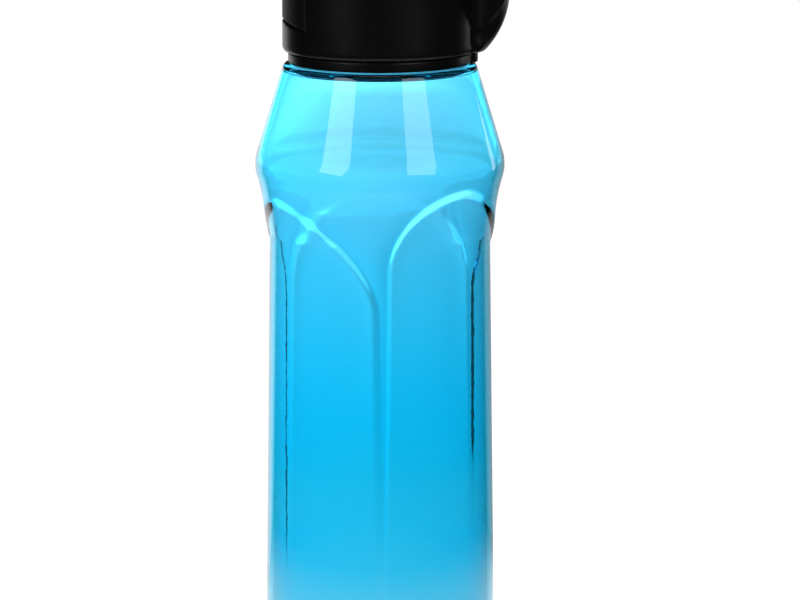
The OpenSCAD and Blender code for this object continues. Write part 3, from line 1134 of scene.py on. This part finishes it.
@dataclass
class Lid:
    """The screw-on lid and what it carries. The ear is the flat lug that the loop runs down into."""

    shell_r: float = 32.0
    low: float = 213.7
    web_top: float = 233.7
    ear_half: float = 9.0
    ear_fillet: float = 6.0
    loop_x: float = 14.5
    loop_z: float = 233.0
    loop_r: float = 28.0
    crown: float = 1.7
    deep_crown: float = 5.9
    deep_z: float = 220.5
    swell_up: float = 11.0
    swell_down: float = 8.0
    shell_cell: float = 0.55
    collar_cell: float = 0.4
    collar_rounding: int = 3

    def fairing(self) -> bpy.types.Object:
        """Closed solid that leads the round shell into the two sides of the ear.

        In plan, a fillet of radius ear_fillet touches the shell's circle from outside, and the flat
        |y| = ear_half. The outline runs over one fillet, along the flat as far as the ear's crest,
        across to the other side, and back along an arc inside the shell's wall.

        Returns:
            The solid, from the shell's lower edge to the top of the ear's web.
        """
        reach = self.shell_r + self.ear_fillet
        centre_y = self.ear_half + self.ear_fillet
        centre_x = np.sqrt(reach**2 - centre_y**2)
        opening = np.arctan2(centre_y, centre_x)
        z = np.linspace(self.low, self.web_top, 50)
        crest = self.loop_x + np.sqrt(self.loop_r**2 - (z - self.loop_z) ** 2)
        turn = np.linspace(np.pi + opening, 1.5 * np.pi, 24)
        arc_x = np.append(centre_x + self.ear_fillet * np.cos(turn), self.loop_x + 2 * self.loop_r)
        arc_y = np.append(centre_y + self.ear_fillet * np.sin(turn), self.ear_half)
        side_x = np.minimum(arc_x, crest[:, None])
        side_y = np.broadcast_to(arc_y, side_x.shape)
        back = np.linspace(-opening, opening, 14)
        back_x = np.broadcast_to((self.shell_r - 1) * np.cos(back), (len(z), len(back)))
        back_y = np.broadcast_to((self.shell_r - 1) * np.sin(back), (len(z), len(back)))
        x = np.concatenate([back_x, side_x, side_x[:, ::-1]], 1)
        y = np.concatenate([back_y, side_y, -side_y[:, ::-1]], 1)
        return ringed_solid("ear_fairing", np.stack([x, y, np.broadcast_to(z[:, None], x.shape)], -1))

    def crowned(self, points: Array) -> Array:
        """Draw the ear's outer face in towards its two edges, most of all low down.

        About the loop's centre, no point outside the shell may be further out than the crest's radius
        less crown * (y / ear_half)^2. The crown swells from its least value to deep_crown and back
        along one period of a cosine round deep_z.

        Args:
            points: Points (n, 3) in mm.

        Returns:
            Their new places.
        """
        x, y, z = points.T
        swell = np.where(z > self.deep_z, self.swell_up, self.swell_down)
        off = np.clip((z - self.deep_z) / swell, -1, 1)
        crown = self.crown + (self.deep_crown - self.crown) * (0.5 + 0.5 * np.cos(np.pi * off))
        limit = self.loop_r - crown * (y / self.ear_half) ** 2
        out = np.hypot(x - self.loop_x, z - self.loop_z)
        off_shell = (np.hypot(x, y) > self.shell_r + 0.05) & (x > 20)
        outside = off_shell & (z < self.loop_z + 3) & (out > limit)
        share = np.where(outside, limit / out, 1.0)
        drawn_x = self.loop_x + (x - self.loop_x) * share
        drawn_z = self.loop_z + (z - self.loop_z) * share
        wall_x = np.sqrt(np.clip(self.shell_r**2 - y**2, 0, None))
        drawn_x = np.where(outside, np.maximum(drawn_x, wall_x), x)
        drawn_z = np.where(outside, np.maximum(drawn_z, np.minimum(z, self.low)), z)
        return np.stack([drawn_x, y, drawn_z], -1)

    def build(self) -> list[bpy.types.Object]:
        """Make the lid's mouldings and dress its parts.

        Returns:
            The new pieces.
        """
        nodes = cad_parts
        shell = Moulding("lid_moulding", "lid_shell", Body.LID, Slot.LID, self.shell_cell)
        collar = Moulding(
            "collar_moulding", "screw_collar", Body.LID, Slot.LID, self.collar_cell, self.collar_rounding
        )
        pieces = [shell.build(self.fairing(), reshape=self.crowned), collar.build()]
        LID_BLACK.dress(*pieces)
        SPOUT_BLACK.dress(nodes["spout"])
        MILKY_SEAL.dress(nodes["spout_gasket"], nodes["vent_valve"], nodes["neck_gasket"])
        SPRING_STEEL.dress(nodes["hinge_pin"], nodes["button_pin"])
        return pieces


@dataclass
class Cover:
    """The flip cover and its seal."""

    cell: float = 0.5

    def build(self) -> list[bpy.types.Object]:
        """Make the cover's moulding and dress its parts.

        Returns:
            The new pieces.
        """
        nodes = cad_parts
        cover = Moulding("cover_moulding", "flip_cover", Body.COVER, Slot.LID, self.cell).build()
        LID_BLACK.dress(cover)
        MILKY_SEAL.dress(nodes["cover_seal"])
        SPRING_STEEL.dress(nodes["cover_spring"])
        return [cover]


@dataclass
class Button:
    """The release button and its springs."""

    cell: float = 0.3
    rounding: int = 3

    def build(self) -> list[bpy.types.Object]:
        """Make the button's moulding and dress its parts.

        Returns:
            The new pieces.
        """
        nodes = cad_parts
        mould = Moulding(
            "button_moulding", "release_button", Body.BUTTON, Slot.BUTTON, self.cell, self.rounding
        )
        button = mould.build()
        BUTTON_BLACK.dress(button)
        SPRING_STEEL.dress(nodes["button_springs"])
        return [button]


# ---- Studio ----


@dataclass
class Softbox:
    """A rectangular light that looks at the bottle."""

    name: str
    bearing: float
    elevation: float
    distance: float
    width: float
    height: float
    radiance: float
    roll: float = 0.0
    aim: tuple[float, float, float] = (0.0, 0.0, 0.15)

    def build(self) -> bpy.types.Object:
        """Place the light; its power is radiance times pi times its area.

        Returns:
            The light.
        """
        data = bpy.data.lights.new(self.name, "AREA")
        data.shape = "RECTANGLE"
        data.size = self.width
        data.size_y = self.height
        data.energy = self.radiance * np.pi * self.width * self.height
        light = bpy.data.objects.new(self.name, data)
        around, up = np.radians(self.bearing), np.radians(self.elevation)
        offset = Vector((np.sin(around) * np.cos(up), -np.cos(around) * np.cos(up), np.sin(up)))
        light.location = Vector(self.aim) + offset * self.distance
        light.rotation_mode = "QUATERNION"
        facing = offset.to_track_quat("Z", "Y")
        light.rotation_quaternion = Quaternion(offset, np.radians(self.roll)) @ facing
        light.visible_transmission = False
        bpy.context.scene.collection.objects.link(light)
        return light


@dataclass
class Studio:
    """Camera, floor, lights and surroundings. Metres here.

    The strengths are for the eye (seen), for light through the plastic (through and glow), for
    reflections (mirrored) and for what lights the dull surfaces (spread). caught is the share of the
    floor's light that is left for a ray that has been caught inside a wall.
    """

    aim: tuple[float, float, float] = (0.0066, 0.0, 0.130)
    distance: float = 1.8
    elevation: float = 10.1
    lens: float = 245.0
    sensor: float = 36.0
    far: float = 100.0
    floor_half: float = 20000.0
    world_seen: float = 1.0
    world_spread: float = 0.3
    world_mirrored: float = 0.03
    world_glow: tuple[float, float] = (2.1, 0.04)
    floor_seen: float = 0.72
    floor_through: float = 1.16
    floor_paint: float = 0.85
    caught: float = 0.12

    def camera(self) -> None:
        """Long lens from the front, a little above the bottle."""
        data = bpy.data.cameras.new("studio_camera")
        data.lens = self.lens
        data.sensor_width = self.sensor
        data.clip_end = self.far
        camera = bpy.data.objects.new("studio_camera", data)
        up = np.radians(self.elevation)
        back = Vector((0.0, -np.cos(up), np.sin(up)))
        camera.location = Vector(self.aim) + back * self.distance
        camera.rotation_mode = "QUATERNION"
        camera.rotation_quaternion = back.to_track_quat("Z", "Y")
        bpy.context.scene.collection.objects.link(camera)
        bpy.context.scene.camera = camera

    @staticmethod
    def bounced(sheet: NodeSheet, path: bpy.types.NodeOutputs) -> Socket:
        """1 for a reflected ray; a ray through rough plastic counts as glossy too, and gets 0."""
        passed = sheet.math("SUBTRACT", 1.0, path["Is Transmission Ray"])
        return sheet.math("MULTIPLY", path["Is Glossy Ray"], passed)

    def unspent(self, sheet: NodeSheet, path: bpy.types.NodeOutputs) -> Socket:
        """1 for light that went straight through both walls, little for light caught in a wall."""
        return sheet.spread(path["Ray Depth"], 4.2, 5.0, 1.0, self.caught)

    def world(self) -> None:
        """White for the eye, white near the horizon through the plastic, dim in reflections."""
        world = bpy.data.worlds.new("studio_world")
        world.use_nodes = True
        bpy.context.scene.world = world
        sheet = NodeSheet(world.node_tree)
        path = sheet.add("ShaderNodeLightPath").outputs
        direction = sheet.add("ShaderNodeTexCoord").outputs["Generated"]
        up = sheet.add("ShaderNodeSeparateXYZ", {0: direction}).outputs[2]
        band = sheet.spread(up, 0.28, 0.5, *self.world_glow)
        through = sheet.math("MULTIPLY", path["Is Transmission Ray"], band)
        seen = sheet.math("MULTIPLY", path["Is Camera Ray"], self.world_seen)
        spread = sheet.math("MULTIPLY", path["Is Diffuse Ray"], self.world_spread)
        mirrored = sheet.math("MULTIPLY", self.bounced(sheet, path), self.world_mirrored)
        total = sheet.math("ADD", sheet.math("ADD", through, seen), sheet.math("ADD", spread, mirrored))
        glow = sheet.add("ShaderNodeBackground", {"Color": (1, 1, 1, 1), "Strength": total})
        sheet.add("ShaderNodeOutputWorld", {"Surface": glow.outputs[0]})

    def floor(self) -> bpy.types.Object:
        """Make the white floor.

        It glows for the eye and through the plastic, brighter far away and on the left. In a
        reflection only what lies behind the bottle and a ring close round its foot are bright.

        Returns:
            The floor.
        """
        corners = np.array([[-1, -1, 0], [1, -1, 0], [1, 1, 0], [-1, 1, 0]]) * self.floor_half
        floor = make_object("studio_floor", corners, [[0, 1, 2, 3]])
        material = bpy.data.materials.new("studio_floor")
        material.use_nodes = True
        sheet = NodeSheet(material.node_tree)
        path = sheet.add("ShaderNodeLightPath").outputs
        place = sheet.add("ShaderNodeTexCoord").outputs["Object"]
        across, behind, _ = sheet.add("ShaderNodeSeparateXYZ", {0: place}).outputs
        near = sheet.add("ShaderNodeVectorMath", {0: place}, operation="LENGTH").outputs["Value"]
        side = sheet.spread(across, -0.25, 0.3, 1.12, 0.62)
        shade = sheet.math("MULTIPLY", side, sheet.spread(near, 1.2, 2.2, 1.0, 1.9))
        beyond = sheet.math("MULTIPLY", path["Is Transmission Ray"], self.floor_through)
        through = sheet.math("MULTIPLY", sheet.math("MULTIPLY", beyond, shade), self.unspent(sheet, path))
        seen = sheet.math("MULTIPLY", path["Is Camera Ray"], self.floor_seen)
        back = sheet.spread(sheet.math("DIVIDE", behind, near), 0.68, 0.84, 0.012, 1.0)
        tilt = sheet.spread(sheet.math("DIVIDE", across, near), -0.5, 0.5, 1.05, 0.35)
        back = sheet.math("MULTIPLY", back, tilt)
        halo = sheet.spread(near, 0.1, 0.3, 1.4, 0.0)
        mirrored = sheet.math("MULTIPLY", self.bounced(sheet, path), sheet.math("MAXIMUM", back, halo))
        total = sheet.math("ADD", sheet.math("ADD", seen, through), mirrored)
        glow = sheet.add("ShaderNodeEmission", {"Strength": total})
        bare = sheet.math("MAXIMUM", path["Is Camera Ray"], path["Is Diffuse Ray"])
        paint = sheet.add("ShaderNodeBsdfDiffuse", {"Color": (*[self.floor_paint] * 3, 1)})
        both = sheet.add("ShaderNodeAddShader", {0: glow.outputs[0], 1: paint.outputs[0]})
        mixed = sheet.add("ShaderNodeMixShader", {0: bare, 1: glow.outputs[0], 2: both.outputs[0]})
        sheet.add("ShaderNodeOutputMaterial", {"Surface": mixed.outputs[0]})
        floor.data.materials.append(material)
        return floor

    def build(self) -> None:
        """Set the studio up."""
        self.camera()
        self.world()
        self.floor()
        lights = (
            Softbox("left_softbox", -44, 19, 1.4, 0.6, 0.56, 3.4, roll=-14),
            Softbox("right_softbox", 40, 19, 1.4, 0.66, 0.56, 2.8, roll=-10),
            Softbox("rim_strip", 128, 1, 1.2, 0.14, 0.3, 1.8),
            Softbox("top_softbox", 0, 78, 1.6, 1.0, 1.0, 0.9),
        )
        for light in lights:
            light.build()
        view = bpy.context.scene.view_settings
        view.view_transform = "Standard"
        view.look = "None"


def main() -> None:
    """Build each part in order, report it, and note the sizes."""
    logging.basicConfig(level=logging.INFO, format="%(message)s")
    Studio().build()
    for part in (BottleWall(), Lid(), Cover(), Button()):
        for piece in part.build():
            LOG.info("%s: %d faces", piece.name, len(piece.data.polygons))


if __name__ == "__main__":
    main()
